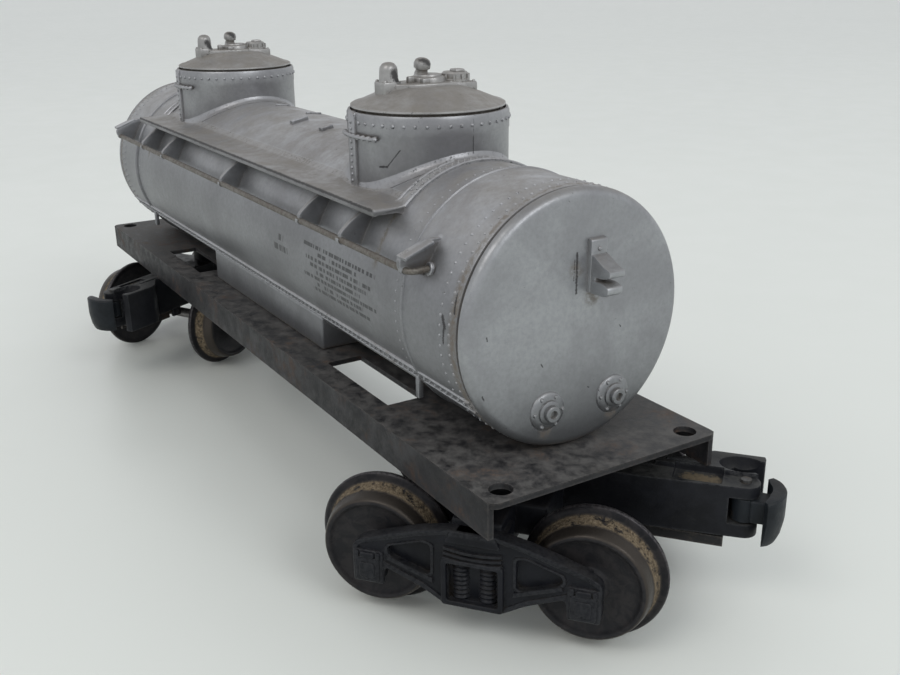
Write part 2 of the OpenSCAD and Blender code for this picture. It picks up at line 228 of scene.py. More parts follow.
def finished(shape, cutters=(), edge=0.0, steps=2):
    """The shape with the cutters taken away and its sharp edges rounded."""
    holders = []
    for part in (shape, *cutters):
        mesh = bpy.data.meshes.new("cut")
        part.to_mesh(mesh)
        part.free()
        holders.append(linked("cut", mesh))
    for cutter in holders[1:]:
        cut = holders[0].modifiers.new("cut", "BOOLEAN")
        cut.operation = "DIFFERENCE"
        cut.solver = "EXACT"
        cut.object = cutter
    if edge:
        soften(holders[0], edge, steps, 35)
    ready = holders[0].evaluated_get(bpy.context.evaluated_depsgraph_get())
    result = shape_from(bpy.data.meshes.new_from_object(ready))
    for holder in holders:
        mesh = holder.data
        bpy.data.objects.remove(holder)
        bpy.data.meshes.remove(mesh)
    return result


def tube(points, radius, steps=10, cap=True):
    """A round bar along a few points."""
    points = [Vector(point) for point in points]
    rows = []
    for i, point in enumerate(points):
        along = (points[min(i + 1, len(points) - 1)] - points[max(i - 1, 0)]).normalized()
        side = along.cross((0, 0, 1) if abs(along.z) < 0.9 else (1, 0, 0)).normalized()
        top = side.cross(along)
        ring = [side * math.cos(a) + top * math.sin(a)
                for a in (2 * math.pi * k / steps for k in range(steps))]
        rows.append([point + direction * radius for direction in ring])
    return skin(rows, close_columns=True, caps=cap)


def facing(point, normal):
    """A place at the point, with Z along the normal."""
    return Matrix.Translation(point) @ Vector(normal).to_track_quat("Z", "Y").to_matrix().to_4x4()


def rivet(radius=0.3, height=0.22, steps=8):
    profile = [(0, -0.1), (radius, -0.1), (radius * 0.97, height * 0.35), (radius * 0.62, height * 0.85),
               (0, height)]
    return turned(profile, steps)


class Piece:
    """One visible piece: shapes are put into it, and then it is made into an object."""

    def __init__(self, name, place=HERE):
        self.name = name
        self.place = place
        self.shape = bmesh.new()

    def put(self, shape, place=HERE):
        mesh = bpy.data.meshes.new("part")
        bmesh.ops.transform(shape, matrix=self.place @ place, verts=shape.verts)
        if (self.place @ place).determinant() < 0:
            bmesh.ops.reverse_faces(shape, faces=shape.faces)
        shape.to_mesh(mesh)
        shape.free()
        self.shape.from_mesh(mesh)
        bpy.data.meshes.remove(mesh)

    def make(self, material, body, replaces=(), crease=40.0):
        bmesh.ops.scale(self.shape, vec=(MM, MM, MM), verts=self.shape.verts)
        mesh = bpy.data.meshes.new(self.name)
        self.shape.to_mesh(mesh)
        self.shape.free()
        mesh.materials.append(material)
        mesh.shade_smooth()
        mesh.set_sharp_from_angle(angle=math.radians(crease))
        made = linked(self.name, mesh)
        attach(made, body)
        if replaces:
            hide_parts(*replaces)
        return made


# ---------------------------------------------------------------- materials
class Surface:
    """A procedural material, put together from a few kinds of node."""

    def __init__(self, name, metallic=0.0, specular=0.5):
        self.material = bpy.data.materials.new(name)
        self.material.use_nodes = True
        self.tree = self.material.node_tree
        self.shader = self.tree.nodes["Principled BSDF"]
        self.shader.inputs["Metallic"].default_value = metallic
        self.shader.inputs["Specular IOR Level"].default_value = specular
        coords = self.node("TexCoord")
        scaled = self.node("VectorMath", {0: coords.outputs["Object"], "Scale": 1 / MM}, operation="SCALE")
        self.mm = scaled.outputs[0]
        self.up = self.split(coords.outputs["Normal"])[2]

    def join(self, value, socket):
        if isinstance(value, bpy.types.NodeSocket):
            self.tree.links.new(value, socket)
        elif socket.type == "RGBA":
            socket.default_value = (*value, 1)
        else:
            socket.default_value = value

    def node(self, kind, given=(), **settings):
        """A new node: its inputs by name or number, then its settings."""
        made = self.tree.nodes.new(f"ShaderNode{kind}")
        for setting, value in settings.items():
            setattr(made, setting, value)
        for socket, value in dict(given).items():
            self.join(value, made.inputs[socket])
        return made

    def split(self, vector):
        return self.node("SeparateXYZ", {0: vector}).outputs

    def noise(self, scale, detail=4.0, rough=0.6, warp=0.0, place=None):
        given = {"Vector": place or self.mm, "Scale": scale, "Detail": detail, "Roughness": rough,
                 "Distortion": warp}
        return self.node("TexNoise", given).outputs[0]

    def math(self, operation, a, b=0.0, clamp=False):
        return self.node("Math", {0: a, 1: b}, operation=operation, use_clamp=clamp).outputs[0]

    def times(self, first, *others):
        for other in others:
            first = self.math("MULTIPLY", first, other)
        return first

    def most(self, first, *others):
        for other in others:
            first = self.math("MAXIMUM", first, other)
        return first

    def step(self, value, low, high, to_low=0.0, to_high=1.0):
        given = dict(enumerate((value, low, high, to_low, to_high)))
        return self.node("MapRange", given, interpolation_type="SMOOTHSTEP").outputs[0]

    def mix(self, amount, a, b):
        return self.node("Mix", {0: amount, 6: a, 7: b}, data_type="RGBA").outputs[2]

    def shelter(self, distance, inside=False):
        """1 in crevices, or on outward edges when inside is set, and 0 in the open."""
        found = self.node("AmbientOcclusion", {"Distance": distance * MM}, samples=6, inside=inside)
        return self.math("SUBTRACT", 1.0, found.outputs["AO"])

    def attribute(self, name):
        return self.node("Attribute", attribute_name=name).outputs["Fac"]

    def distance(self, a, b):
        return self.node("VectorMath", {0: a, 1: b}, operation="DISTANCE").outputs["Value"]

    def dashes(self, blocks):
        """1 on rows of uneven dashes. A block is (x0, x1, z0, z1, rows), seen from the left side."""
        across, side, up = self.split(self.mm)
        along = self.times(across, self.math("SIGN", side), -1.0)
        inked = 0.0
        for x0, x1, z0, z1, rows in blocks:
            line = self.times(self.math("SUBTRACT", up, z0), rows / (z1 - z0))
            row = self.math("FLOOR", line)
            margin = self.times(self.math("SINE", self.times(row, 2.4)), 3.0)
            inside = self.times(
                self.math("GREATER_THAN", line, 0.0), self.math("LESS_THAN", line, rows),
                self.math("GREATER_THAN", along, self.math("ADD", margin, x0 + 3.0)),
                self.math("LESS_THAN", along, self.math("SUBTRACT", x1 - 3.0, margin)))
            place = self.node("CombineXYZ", {0: along, 2: self.times(row, 9.7)}).outputs[0]
            dash = self.step(self.noise(1.5, 1, 0.5, 0.0, place), 0.43, 0.49)
            height = self.step(self.math("FRACT", line), 0.62, 0.56)
            inked = self.most(inked, self.times(inside, dash, height))
        return inked

    def scratch(self, a, b, width, ragged):
        """1 along a straight line between two points, with a ragged outline."""
        along = Vector(b) - Vector(a)
        offset = self.node("VectorMath", {0: self.mm, 1: Vector(a)}, operation="SUBTRACT").outputs[0]
        to_share = along / along.length_squared
        share = self.node("VectorMath", {0: offset, 1: to_share}, operation="DOT_PRODUCT")
        part = self.math("MAXIMUM", self.math("MINIMUM", share.outputs["Value"], 1.0), 0.0)
        foot = self.node("VectorMath", {0: along, "Scale": part}, operation="SCALE").outputs[0]
        reach = self.math("ADD", self.distance(offset, foot), self.times(ragged, width * 1.6))
        return self.step(reach, width * 1.7, width * 1.1)

    def finish(self, colour, rough, metallic=None, bumps=()):
        """Joins the looks to the shader. A bump is (height, depth in millimetres)."""
        given = {"Base Color": colour, "Roughness": rough}
        if metallic is not None:
            given["Metallic"] = metallic
        for height, depth in bumps:
            bump = self.node("Bump", {"Strength": 1.0, "Distance": depth * MM, "Height": height})
            if "Normal" in given:
                self.join(given["Normal"], bump.inputs["Normal"])
            given["Normal"] = bump.outputs[0]
        for socket, value in given.items():
            self.join(value, self.shader.inputs[socket])
        return self.material


def shade(colour, factor):
    return tuple(factor * c for c in colour)


BARE_PLASTIC = (0.022, 0.021, 0.022)
INK = (0.03, 0.03, 0.032)
GRIME_DARK, GRIME_PALE = (0.13, 0.102, 0.075), (0.165, 0.145, 0.12)
RUST_DARK, RUST_BRIGHT = (0.045, 0.024, 0.014), (0.12, 0.058, 0.026)
TAN_DUST = (0.15, 0.12, 0.08)
CREVICE_DIRT = (0.085, 0.068, 0.050)


def silver_paint(name, light, dark, grime=1.0, flank_lightness=1.0, seams=(), scratches=(), halos=(), stencils=(),
                 foot=None):
    """Aluminium paint on the tank moulding, with brown grime on top and black where it is gone.

    'flank' under 1 paints shade on the faces that do not look up. 'seams' are bands of
    caked dirt on faces that look up so much: (distance from the wagon's middle, half width, up).
    'scratches' are lines of bare black plastic: (from, to, width). 'halos' are brown stains:
    (middle, reach). 'stencils' are blocks of dashes, on both sides. 'foot' is the span of heights
    where the colour is made darker towards the bottom."""
    s = Surface(name)
    broad = s.noise(0.07, 5, 0.62, 0.4)
    patch = s.noise(0.20, 6, 0.68, 0.2)
    fine = s.noise(1.3, 5, 0.75)
    speck = s.noise(2.1, 3, 0.6, 1.5)
    crevice = s.shelter(2.2)
    ridge = s.shelter(0.45, inside=True)
    colour = s.mix(s.step(broad, 0.36, 0.64), dark, light)
    colour = s.mix(s.times(s.step(fine, 0.35, 0.7), 0.35), colour, shade(light, 0.6))
    # Painted shade: faces that do not look up are darkened towards near-black, by the flank setting.
    colour = s.mix(s.step(s.up, 0.95, 0.1), colour, s.mix(1.0 - flank_lightness, colour, (0.02, 0.02, 0.021)))
    if foot:
        # Darker towards the bottom, over the foot span of heights.
        low = s.step(s.split(s.mm)[2], *foot, 0.6, 0.0)
        colour = s.mix(low, colour, (0.05, 0.055, 0.055))
    top = s.times(s.step(s.up, 0.25, 0.98), s.step(patch, 0.12, 0.88), 0.85 * grime)
    corner = s.times(s.step(crevice, 0.25, 0.85), s.step(fine, 0.2, 0.6), 0.9 * grime)
    dirt = s.most(top, corner)
    for distance, half_width, least_up in seams:
        off = s.math("ABSOLUTE", s.math("SUBTRACT", s.math("ABSOLUTE", s.split(s.mm)[0]), distance))
        caked = s.step(s.math("ADD", off, s.times(patch, half_width)), half_width * 1.5, half_width * 0.4)
        above = s.step(s.up, least_up - 0.1, least_up)
        dirt = s.most(dirt, s.times(caked, s.step(fine, 0.3, 0.55), above, 0.85))
    for middle, reach in halos:
        gap = s.math("ADD", s.distance(s.mm, middle), s.times(s.math("SUBTRACT", patch, 0.5), reach * 1.6))
        dirt = s.most(dirt, s.times(s.step(gap, reach, reach * 0.3), s.step(fine, 0.28, 0.6), 0.75))
    dirt = s.math("MINIMUM", dirt, 1.0)
    colour = s.mix(dirt, colour, s.mix(s.step(patch, 0.4, 0.65), GRIME_DARK, GRIME_PALE))
    # Paler paint on outward edges: partly wear, partly a painted highlight.
    edge_wear_and_highlight = s.times(s.step(ridge, 0.14, 0.42), s.step(fine, 0.38, 0.52))
    colour = s.mix(s.times(edge_wear_and_highlight, 0.3), colour, shade(light, 1.2))
    chip = s.most(
        s.times(s.step(speck, 0.70, 0.74), s.step(patch, 0.46, 0.58)),
        s.times(s.step(ridge, 0.2, 0.4), s.step(speck, 0.60, 0.64), s.step(patch, 0.5, 0.56)),
    )
    for a, b, width in scratches:
        chip = s.most(chip, s.scratch(a, b, width, speck))
    if stencils:
        colour = s.mix(s.times(s.dashes(stencils), 0.8), colour, INK)
    colour = s.mix(s.times(chip, 0.9), colour, BARE_PLASTIC)
    bare = s.math("SUBTRACT", 1.0, s.most(dirt, chip), clamp=True)
    metallic = s.step(bare, 0.0, 1.0, 0.15, 0.72)
    rough = s.math("ADD", s.step(bare, 0.0, 1.0, 0.60, 0.32), s.times(fine, 0.16))
    whole = s.math("SUBTRACT", 1.0, chip)
    return s.finish(colour, rough, metallic, [(fine, 0.018), (patch, 0.06), (whole, 0.03)])


def worn_black(name, base, worn, dust, rust=0.0, rough_low=0.38, rough_high=0.62, gloss=0.22,
               tint=(0.06, 0.05, 0.042), edge_rub_and_highlight=0.8, dust_and_sheen_colour=(0.13, 0.115, 0.10), heaps=()):
    """Black finish with scuffs, pale edges (partly wear, partly painted highlight), dust on top faces
    (partly real dust, partly painted sheen) and patches of rust.

    'heaps' are spots where tan dust lies thick on the top faces: (middle, reach)."""
    s = Surface(name, specular=gloss)
    broad = s.noise(0.11, 5, 0.65, 0.3)
    patch = s.noise(0.35, 6, 0.7, 0.2)
    fine = s.noise(1.9, 5, 0.7)
    stretched = s.node("Mapping", {"Vector": s.mm, "Scale": (0.25, 0.9, 0.9)}).outputs[0]
    streak = s.noise(1.0, 4, 0.65, 0.0, stretched)
    crevice = s.shelter(2.0)
    ridge = s.shelter(0.5, inside=True)
    colour = s.mix(s.step(broad, 0.38, 0.62), base, shade(base, 1.7))
    colour = s.mix(s.times(s.step(streak, 0.54, 0.72), 0.55), colour, tint)
    # Lighter colour on the top faces: partly real dust, partly a painted sheen on them.
    dust_and_sheen = s.times(s.step(s.up, 0.35, 0.95), s.step(patch, 0.3, 0.68), dust)
    colour = s.mix(dust_and_sheen, colour, dust_and_sheen_colour)
    for middle, reach in heaps:
        gap = s.math("ADD", s.distance(s.mm, middle), s.times(s.math("SUBTRACT", fine, 0.5), reach * 2.6))
        lying = s.times(s.step(gap, reach, reach * 0.3), s.step(s.up, 0.6, 0.95))
        colour = s.mix(s.times(lying, 0.8), colour, TAN_DUST)
    if rust:
        eaten = s.times(s.step(broad, 0.50, 0.66), s.step(patch, 0.42, 0.60), rust)
        colour = s.mix(eaten, colour, s.mix(s.step(fine, 0.4, 0.6), RUST_DARK, RUST_BRIGHT))
    packed = s.times(s.step(crevice, 0.45, 0.95), s.step(patch, 0.40, 0.62), 0.5)
    colour = s.mix(packed, colour, CREVICE_DIRT)
    # Pale outward edges in the worn colour: partly rubbed wear, partly a painted highlight.
    rubbed_edges_and_highlight = s.times(s.step(ridge, 0.16, 0.45), s.step(fine, 0.34, 0.6))
    colour = s.mix(s.times(rubbed_edges_and_highlight, edge_rub_and_highlight), colour, worn)
    rough = s.math("ADD", s.step(patch, 0.3, 0.7, rough_low, rough_high), s.times(dust_and_sheen, 0.25))
    return s.finish(colour, rough, None, [(fine, 0.02), (patch, 0.09)])


def plain_metal(name, base, rough, metallic=0.85, dirt=0.4):
    """Bare or blackened metal of the small fittings, dulled and dirty."""
    s = Surface(name)
    patch = s.noise(0.8, 5, 0.7, 0.6)
    fine = s.noise(3.2, 4, 0.65)
    crevice = s.shelter(1.2)
    stain = s.most(s.times(s.step(patch, 0.42, 0.68), dirt), s.times(s.step(crevice, 0.4, 0.9), 0.7))
    colour = s.mix(s.step(fine, 0.3, 0.7), base, shade(base, 0.6))
    colour = s.mix(stain, colour, (0.075, 0.055, 0.04))
    roughness = s.step(patch, 0.3, 0.7, rough, rough + 0.25)
    return s.finish(colour, roughness, s.step(stain, 0.0, 1.0, metallic, 0.1), [(fine, 0.015)])


def wheel_metal(name):
    """Wheel by zone: 'span' is the radius and 'width' the distance from the back face."""
    s = Surface(name, specular=0.25)
    span, width = s.attribute("span"), s.attribute("width")
    broad = s.noise(0.4, 5, 0.7, 0.8)
    fine = s.noise(2.4, 6, 0.75)
    ragged = s.math("ADD", width, s.times(s.math("SUBTRACT", fine, 0.5), 1.5))
    colour = s.mix(s.step(broad, 0.4, 0.62), (0.010, 0.010, 0.012), (0.022, 0.020, 0.021))
    on_tread = s.times(s.step(span, 8.25, 8.5), s.step(width, 1.35, 1.6))
    crust = s.times(on_tread, s.step(ragged, 3.9, 3.1), s.step(s.noise(0.9, 5, 0.7), 0.34, 0.5))
    crust_colour = s.mix(s.step(fine, 0.34, 0.66), (0.095, 0.070, 0.045), (0.25, 0.20, 0.135))
    run = s.times(on_tread, s.step(ragged, 3.4, 4.2))
    colour = s.mix(s.times(run, 0.8), colour, (0.060, 0.051, 0.043))
    colour = s.mix(crust, colour, crust_colour)
    # Pale ring on the flange's tip: a painted highlight.
    rim = s.times(s.step(span, 10.75, 10.95), s.step(fine, 0.36, 0.6))
    colour = s.mix(s.times(rim, 0.5), colour, (0.14, 0.13, 0.135))
    ridge = s.shelter(0.4, inside=True)
    # Pale outward edges: partly rubbed wear, partly a painted highlight.
    rubbed_edges_and_highlight = s.times(s.step(ridge, 0.2, 0.5), s.step(fine, 0.4, 0.62))
    colour = s.mix(s.times(rubbed_edges_and_highlight, 0.4), colour, (0.12, 0.11, 0.105))
    flange = s.step(span, 9.6, 9.9)
    metallic = s.times(s.most(s.times(flange, 0.45), s.times(run, 0.6)), s.math("SUBTRACT", 1.0, crust))
    rough = s.math("ADD", s.step(s.most(flange, run), 0.0, 1.0, 0.55, 0.36), s.times(crust, 0.4))
    return s.finish(colour, rough, metallic, [(fine, 0.03), (s.times(crust, fine), 0.25), (broad, 0.05)])


SILVER_LIGHT = (0.50, 0.51, 0.535)
SILVER_DARK = (0.38, 0.385, 0.405)


def on_lids(x, y, z):
    """A point on both lids: its place from the lid's middle, and its height over the lid's seat."""
    return [Vector((end * DOME_X + x, y, LID_SEAT + z)) for end in ENDS.values()]


def dome_point(angle, height, end=1):
    """A point on a dome's wall: angle in degrees from +X, height from the lid's seat."""
    turn = math.radians(angle)
    return (end * DOME_X + DOME_R * math.cos(turn), DOME_R * math.sin(turn), LID_SEAT + height)


def on_end(y, height):
    """A point on the near end's face, at a height over the deck."""
    return (END_FACE, y, DECK + height)


TANK_SCRATCHES = (
    ((79.9, -19.2, 50.6), (80.6, -19.3, 49.2), 0.55),
    ((80.4, -19.3, 49.4), (80.2, -19.3, 46.9), 0.34),
    ((82.3, -18.3, 54.4), (82.6, -18.9, 51.8), 0.30),
    ((82.9, -19.3, 44.0), (83.0, -18.9, 41.0), 0.22),
    ((62.5, -9.6, 64.8), (64.0, -12.6, 62.6), 0.14),
)
DOME_SCRATCHES = tuple((dome_point(*start), dome_point(*stop), width) for start, stop, width in (
    ((-66, -8.0), (-60, -7.9), 0.24), ((-60, -7.9), (-50, -5.2), 0.14), ((-27, -6.9), (-26, -7.6), 0.14),
    ((-20, -7.0), (-19.5, -7.6), 0.12), ((1, -0.6), (1, -14.5), 0.14),
))
BOARD_EDGES = tuple(
    (*(Vector((x, side * BOARD_REACH, BOARD_TOP - 0.15)) for x in (-BOARD_HALF, BOARD_HALF)), 0.42)
    for side in SIDES.values())
END_STREAKS = tuple((on_end(*start), on_end(*stop), width) for start, stop, width in (
    ((-0.5, 29.5), (-0.5, 23.7), 0.30), ((-0.9, 28.6), (-1.0, 25.6), 0.14),
    ((-6.4, 14.2), (-6.1, 13.7), 0.16), ((7.8, 17.4), (8.0, 17.1), 0.14), ((2.2, 8.8), (2.5, 8.7), 0.16),
    ((-16.3, 11.5), (-16.0, 10.8), 0.20), ((-14.8, 8.2), (-14.2, 7.6), 0.18),
    ((-12.9, 6.0), (-12.2, 5.6), 0.22), ((-15.6, 20.0), (-15.5, 19.5), 0.14),
))
END_HALOS = tuple((on_end(y, height), reach) for y, height, reach in (
    (-0.9, 27.0, 1.7), (2.6, 23.0, 2.2), (-5.2, 3.4, 1.6), (6.9, 3.4, 1.6)))
KNOB_WEAR = tuple((a, b, 1.0) for a, b in (
    *zip(on_lids(0.1, -6.3, 5.6), on_lids(0.0, -5.7, 4.6)),
    *zip(on_lids(-0.4, -0.6, 7.4), on_lids(0.4, 0.2, 7.0)),
))
COUPLER_DUST = tuple((truck_place(end) @ Vector((x, -0.5, COUPLER_TOP - 1.0)), 1.9)
                     for end in ENDS for x in (28.0, 29.2, 30.4, 31.4))
STENCILS = (
    (33.0, 60.0, DECK + 14.7, DECK + 23.4, 8),
    (17.3, 29.5, DECK + 18.7, DECK + 22.6, 2),
)
SEAMS = ((TANK_HALF - 1.0, 1.6, -2.0), (59.0, 1.3, 0.3))
# In these silver paints the flank setting (the number after grime) paints shade on the faces that do not
# look up.
SILVER = silver_paint("silver_paint", SILVER_LIGHT, SILVER_DARK, flank_lightness=0.44, seams=SEAMS,
                      scratches=TANK_SCRATCHES, stencils=STENCILS)
SILVER_BOARD = silver_paint("silver_paint_boards", (0.42, 0.42, 0.43), (0.30, 0.30, 0.305), 1.1, 0.5,
                            scratches=BOARD_EDGES)
SILVER_DOME = silver_paint("silver_paint_dome", (0.38, 0.385, 0.40), (0.28, 0.28, 0.295), 1.0, 0.86,
                           scratches=DOME_SCRATCHES)
SILVER_END = silver_paint("silver_paint_end", (0.37, 0.38, 0.395), (0.29, 0.295, 0.31), 0.9, 0.96,
                          scratches=END_STREAKS, halos=END_HALOS, foot=(DECK - 2, DECK + 20))
SILVER_LID = silver_paint("silver_paint_lid", (0.42, 0.415, 0.41), (0.30, 0.295, 0.29), 1.1, 0.9,
                          scratches=KNOB_WEAR)
# The deck top's dust is laid on thick so that it also paints a sheen there.
FRAME_BLACK = worn_black("frame_black", (0.0145, 0.0145, 0.016), (0.11, 0.10, 0.095), 0.75, rust=0.45,
                         tint=(0.034, 0.030, 0.027), edge_rub_and_highlight=0.3, dust_and_sheen_colour=(0.14, 0.135, 0.13))
TRUCK_BLACK = worn_black("truck_black", (0.0055, 0.006, 0.008), (0.05, 0.051, 0.055), 0.3,
                         rough_low=0.32, rough_high=0.48, gloss=0.16, tint=(0.009, 0.0095, 0.0115), edge_rub_and_highlight=0.3,
                         dust_and_sheen_colour=(0.05, 0.045, 0.04))
# The coupler's dust on its top faces and its pale edges also paint its highlights.
COUPLER_BLACK = worn_black("coupler_black", (0.0075, 0.008, 0.010), (0.075, 0.077, 0.08), 0.6,
                           rough_low=0.36, rough_high=0.56, gloss=0.15, tint=(0.014, 0.0145, 0.0165),
                           edge_rub_and_highlight=0.55, dust_and_sheen_colour=(0.095, 0.095, 0.09), heaps=COUPLER_DUST)
KNUCKLE_BLACK = worn_black("knuckle_black", (0.0085, 0.0105, 0.013), (0.06, 0.065, 0.07), 0.12,
                           rough_low=0.36, rough_high=0.56, gloss=0.18, tint=(0.016, 0.019, 0.022), edge_rub_and_highlight=0.35)
FLAP_BLACK = worn_black("flap_black", (0.014, 0.014, 0.015), (0.10, 0.09, 0.08), 0.3, rust=0.4)
WHEEL = wheel_metal("wheel_metal")
STEEL = plain_metal("fastener_steel", (0.30, 0.29, 0.285), 0.38)
KNUCKLE_PIN = plain_metal("knuckle_pin_steel", (0.10, 0.10, 0.10), 0.42, 0.6, 0.6)
AXLE = plain_metal("axle_steel", (0.26, 0.255, 0.25), 0.32)
WIRE = plain_metal("wire_steel", (0.20, 0.185, 0.165), 0.42, 0.7, 0.6)


# ---------------------------------------------------------------- tank
def tank_surface(x, angle, rise=0.0):
    """A point on the tank: angle in degrees from +Y, up over the crown."""
    turn = math.radians(angle)
    reach = TANK_R + rise
    return Vector((x, reach * math.cos(turn), TANK_Z + reach * math.sin(turn)))


def tank_normal(angle):
    turn = math.radians(angle)
    return Vector((0, math.cos(turn), math.sin(turn)))


STRAP_X = (57.4, 60.6)
COURSE_X = 68.8
STRIP_ANGLES = (-30.0, -36.0)     # long riveted strip low on the side
PLUG_Y = (-5.2, 6.9)
PLUG_Z = DECK + 6.7
BOARD_ANGLE = 51.0                # where the running board leaves the tank
CAP_EDGE = 1.35                   # rounding of an end cap's edge


def crown_band(shell, x, section):
    """A band over the crown. Its section is in (rise over the tank, distance along it)."""
    profile = [(TANK_R + rise, along) for rise, along in section]
    band = turned(profile, 64, ring=True, start=BOARD_ANGLE - 6, sweep=192 - 2 * BOARD_ANGLE)
    shell.put(band, moved(x) @ TANK_PLACE)


def tank_shell():
    shell = Piece("tank_shell")
    half = [(TANK_R + rise, x) for rise, x in (
        (-0.16, 0), (-0.16, COURSE_X - 0.6), (0.18, COURSE_X - 0.5), (0.28, COURSE_X - 0.35),
        (0.28, COURSE_X - 0.1), (0.08, COURSE_X + 0.05), (0, COURSE_X + 0.5), (0, TANK_HALF - 0.5),
        (-0.1, TANK_HALF - 0.3), (-0.6, TANK_HALF - 0.16), (-0.7, TANK_HALF), (-1.7, TANK_HALF), (-1.7, 0))]
    profile = half + [(r, -h) for r, h in reversed(half[1:-1])]
    shell.put(turned(profile, 160, ring=True), TANK_PLACE)
    ridge = ((-0.3, -0.3), (0.16, -0.3), (0.33, -0.12), (0.33, 0.12), (0.16, 0.3), (-0.3, 0.3))
    band = ((-0.3, -1.2), (0.1, -1.2), (0.1, 1.2), (-0.3, 1.2))
    for end in ENDS.values():
        for x in (STRAP_X[0] + 0.3, STRAP_X[1] - 0.3):
            crown_band(shell, end * x, ridge)
        crown_band(shell, end * sum(STRAP_X) / 2, band)
    for mirror in (1, -1):
        for angle in STRIP_ANGLES:
            shell.put(long_ridge(angle, mirror, 0.24, 0.30))
        shell.put(long_ridge(sum(STRIP_ANGLES) / 2, mirror, 0.8, 0.10))
        for end in ENDS.values():
            x, y = end * 67.4, mirror * 15.9
            shell.put(block(x - 0.5, x + 0.5, y - 0.45, y + 0.45, DECK + 4.9, DECK + 8.6, 0.15))
    for x, length in ((0.2, 3.6), (12.8, 2.6)):
        nub = block(-length / 2, length / 2, -0.75, 0.75, -0.4, 0.5, 0.2)
        shell.put(nub, facing(tank_surface(x, 102), tank_normal(102)) @ Matrix.Rotation(math.pi / 2, 4, "Z"))
    for x in (-22, -6, 18, 27):
        bar = block(-0.25, 0.25, -1.7, 1.7, -0.3, 0.16, 0.1)
        shell.put(bar, facing(tank_surface(x, 84), tank_normal(84)))
    shell.put(block(-28.5, 28.5, -14.3, 14.3, DECK + 0.02, DECK + 7.4, 0.5, 3))
    shell.make(SILVER, "wagon_body", ["tank_barrel"])


def long_ridge(angle, mirror, half_width, rise):
    """A raised line along the whole tank, at an angle on its flank."""
    section = ((-1, -0.2), (-1, rise * 0.5), (-0.5, rise), (0.5, rise), (1, rise * 0.5), (1, -0.2))
    rows = []
    for x in (-TANK_HALF + 0.6, TANK_HALF - 0.6):
        row = []
        for share, lift in section:
            offset = share * half_width
            point = tank_surface(x, angle + math.degrees(offset / TANK_R), lift - 0.04)
            row.append((point.x, mirror * point.y, point.z))
        rows.append(row)
    return skin(rows, close_columns=True, caps=True)


def dome_walls():
    walls = Piece("dome_walls")
    rim = LID_SEAT
    grab_z = rim - 3.7
    wall = [(DOME_R + out, z) for out, z in (
        (-1.5, TANK_Z + 10), (0, TANK_Z + 10), (0, rim - 3.4), (0.1, rim - 3.2), (0.1, rim - 0.5),
        (-0.12, rim - 0.05), (-0.45, rim - 0.02), (-0.5, rim - 0.6), (-1.5, rim - 0.6))]
    strap = [(DOME_R + out, z) for out, z in (
        (-0.2, TANK_Z + 11), (0.42, TANK_Z + 11), (0.42, rim - 0.35), (0.25, rim - 0.1), (-0.2, rim - 0.1))]
    ball = [(0, -0.5), (0.36, -0.36), (0.5, 0), (0.36, 0.36), (0, 0.5)]
    for end in ENDS.values():
        centre = moved(end * DOME_X)
        walls.put(turned(wall, 112, ring=True), centre)
        walls.put(dome_foot(), centre)
        walls.put(finished(turned(strap, 8, ring=True, start=-101, sweep=11), edge=0.1), centre)
        grab = [round_point(DOME_R + 0.62, -68 - 44 * k / 14, grab_z) for k in range(15)]
        walls.put(tube(grab, 0.32), centre)
        for k in range(9):
            spot = round_point(DOME_R + 0.5, -68 - 44 * k / 8, grab_z)
            walls.put(turned(ball, 10), centre @ moved(*spot))
    walls.make(SILVER_DOME, "wagon_body")


def dome_foot():
    """A small fillet where a dome's wall meets the tank."""
    steps = 112
    rows = []
    for i in range(steps):
        row = []
        for reach, lift in ((-0.3, -0.6), (-0.02, 1.1), (0.16, 0.5), (0.5, 0.16), (1.1, -0.02), (1.0, -0.6)):
            x, y, _ = round_point(DOME_R + reach, 360 * i / steps)
            row.append((x, y, TANK_Z + math.sqrt(TANK_R ** 2 - y ** 2) + lift))
        rows.append(row)
    return skin(rows, close_rows=True, close_columns=True)


def board_section():
    """Section of the left-hand board, seen along the wagon: its top runs up the tank in a fillet."""
    fillet = 5.0
    centre_z = BOARD_TOP + fillet
    centre_y = math.sqrt((TANK_R + fillet) ** 2 - (centre_z - TANK_Z) ** 2)
    start = math.atan2(TANK_Z - centre_z, -centre_y)
    section = []
    for k in range(9):
        angle = start + (-math.pi / 2 - start) * k / 8
        section.append((centre_y + fillet * math.cos(angle), centre_z + fillet * math.sin(angle)))
    y, z = section[0]
    edge = ((-0.7, -0.02), (-0.25, 0.02), (0, -0.2), (0, -0.95), (-0.25, -1.15), (-1.2, -1.0))
    return [(y - 0.9, z - 0.9), *section, *((BOARD_REACH + out, BOARD_TOP + up) for out, up in edge),
            (15.2, BOARD_TOP - 1.0), (13.0, BOARD_TOP - 1.7)]


def running_boards():
    boards = Piece("running_boards")
    section = board_section()
    half = ((0, 0), (20, 0), (BOARD_HALF - 8, 0), (BOARD_HALF - 0.25, 0), (BOARD_HALF, 0.25))
    for side in SIDES.values():
        rows = []
        for x, droop in (*((-x, droop) for x, droop in reversed(half[1:])), *half):
            rows.append([(x, side * (y - droop * (y > 19)), z - droop * (z > BOARD_TOP - 0.3))
                         for y, z in section])
        boards.put(skin(rows, close_columns=True, caps=True))
    boards.make(SILVER_BOARD, "wagon_body", crease=50)


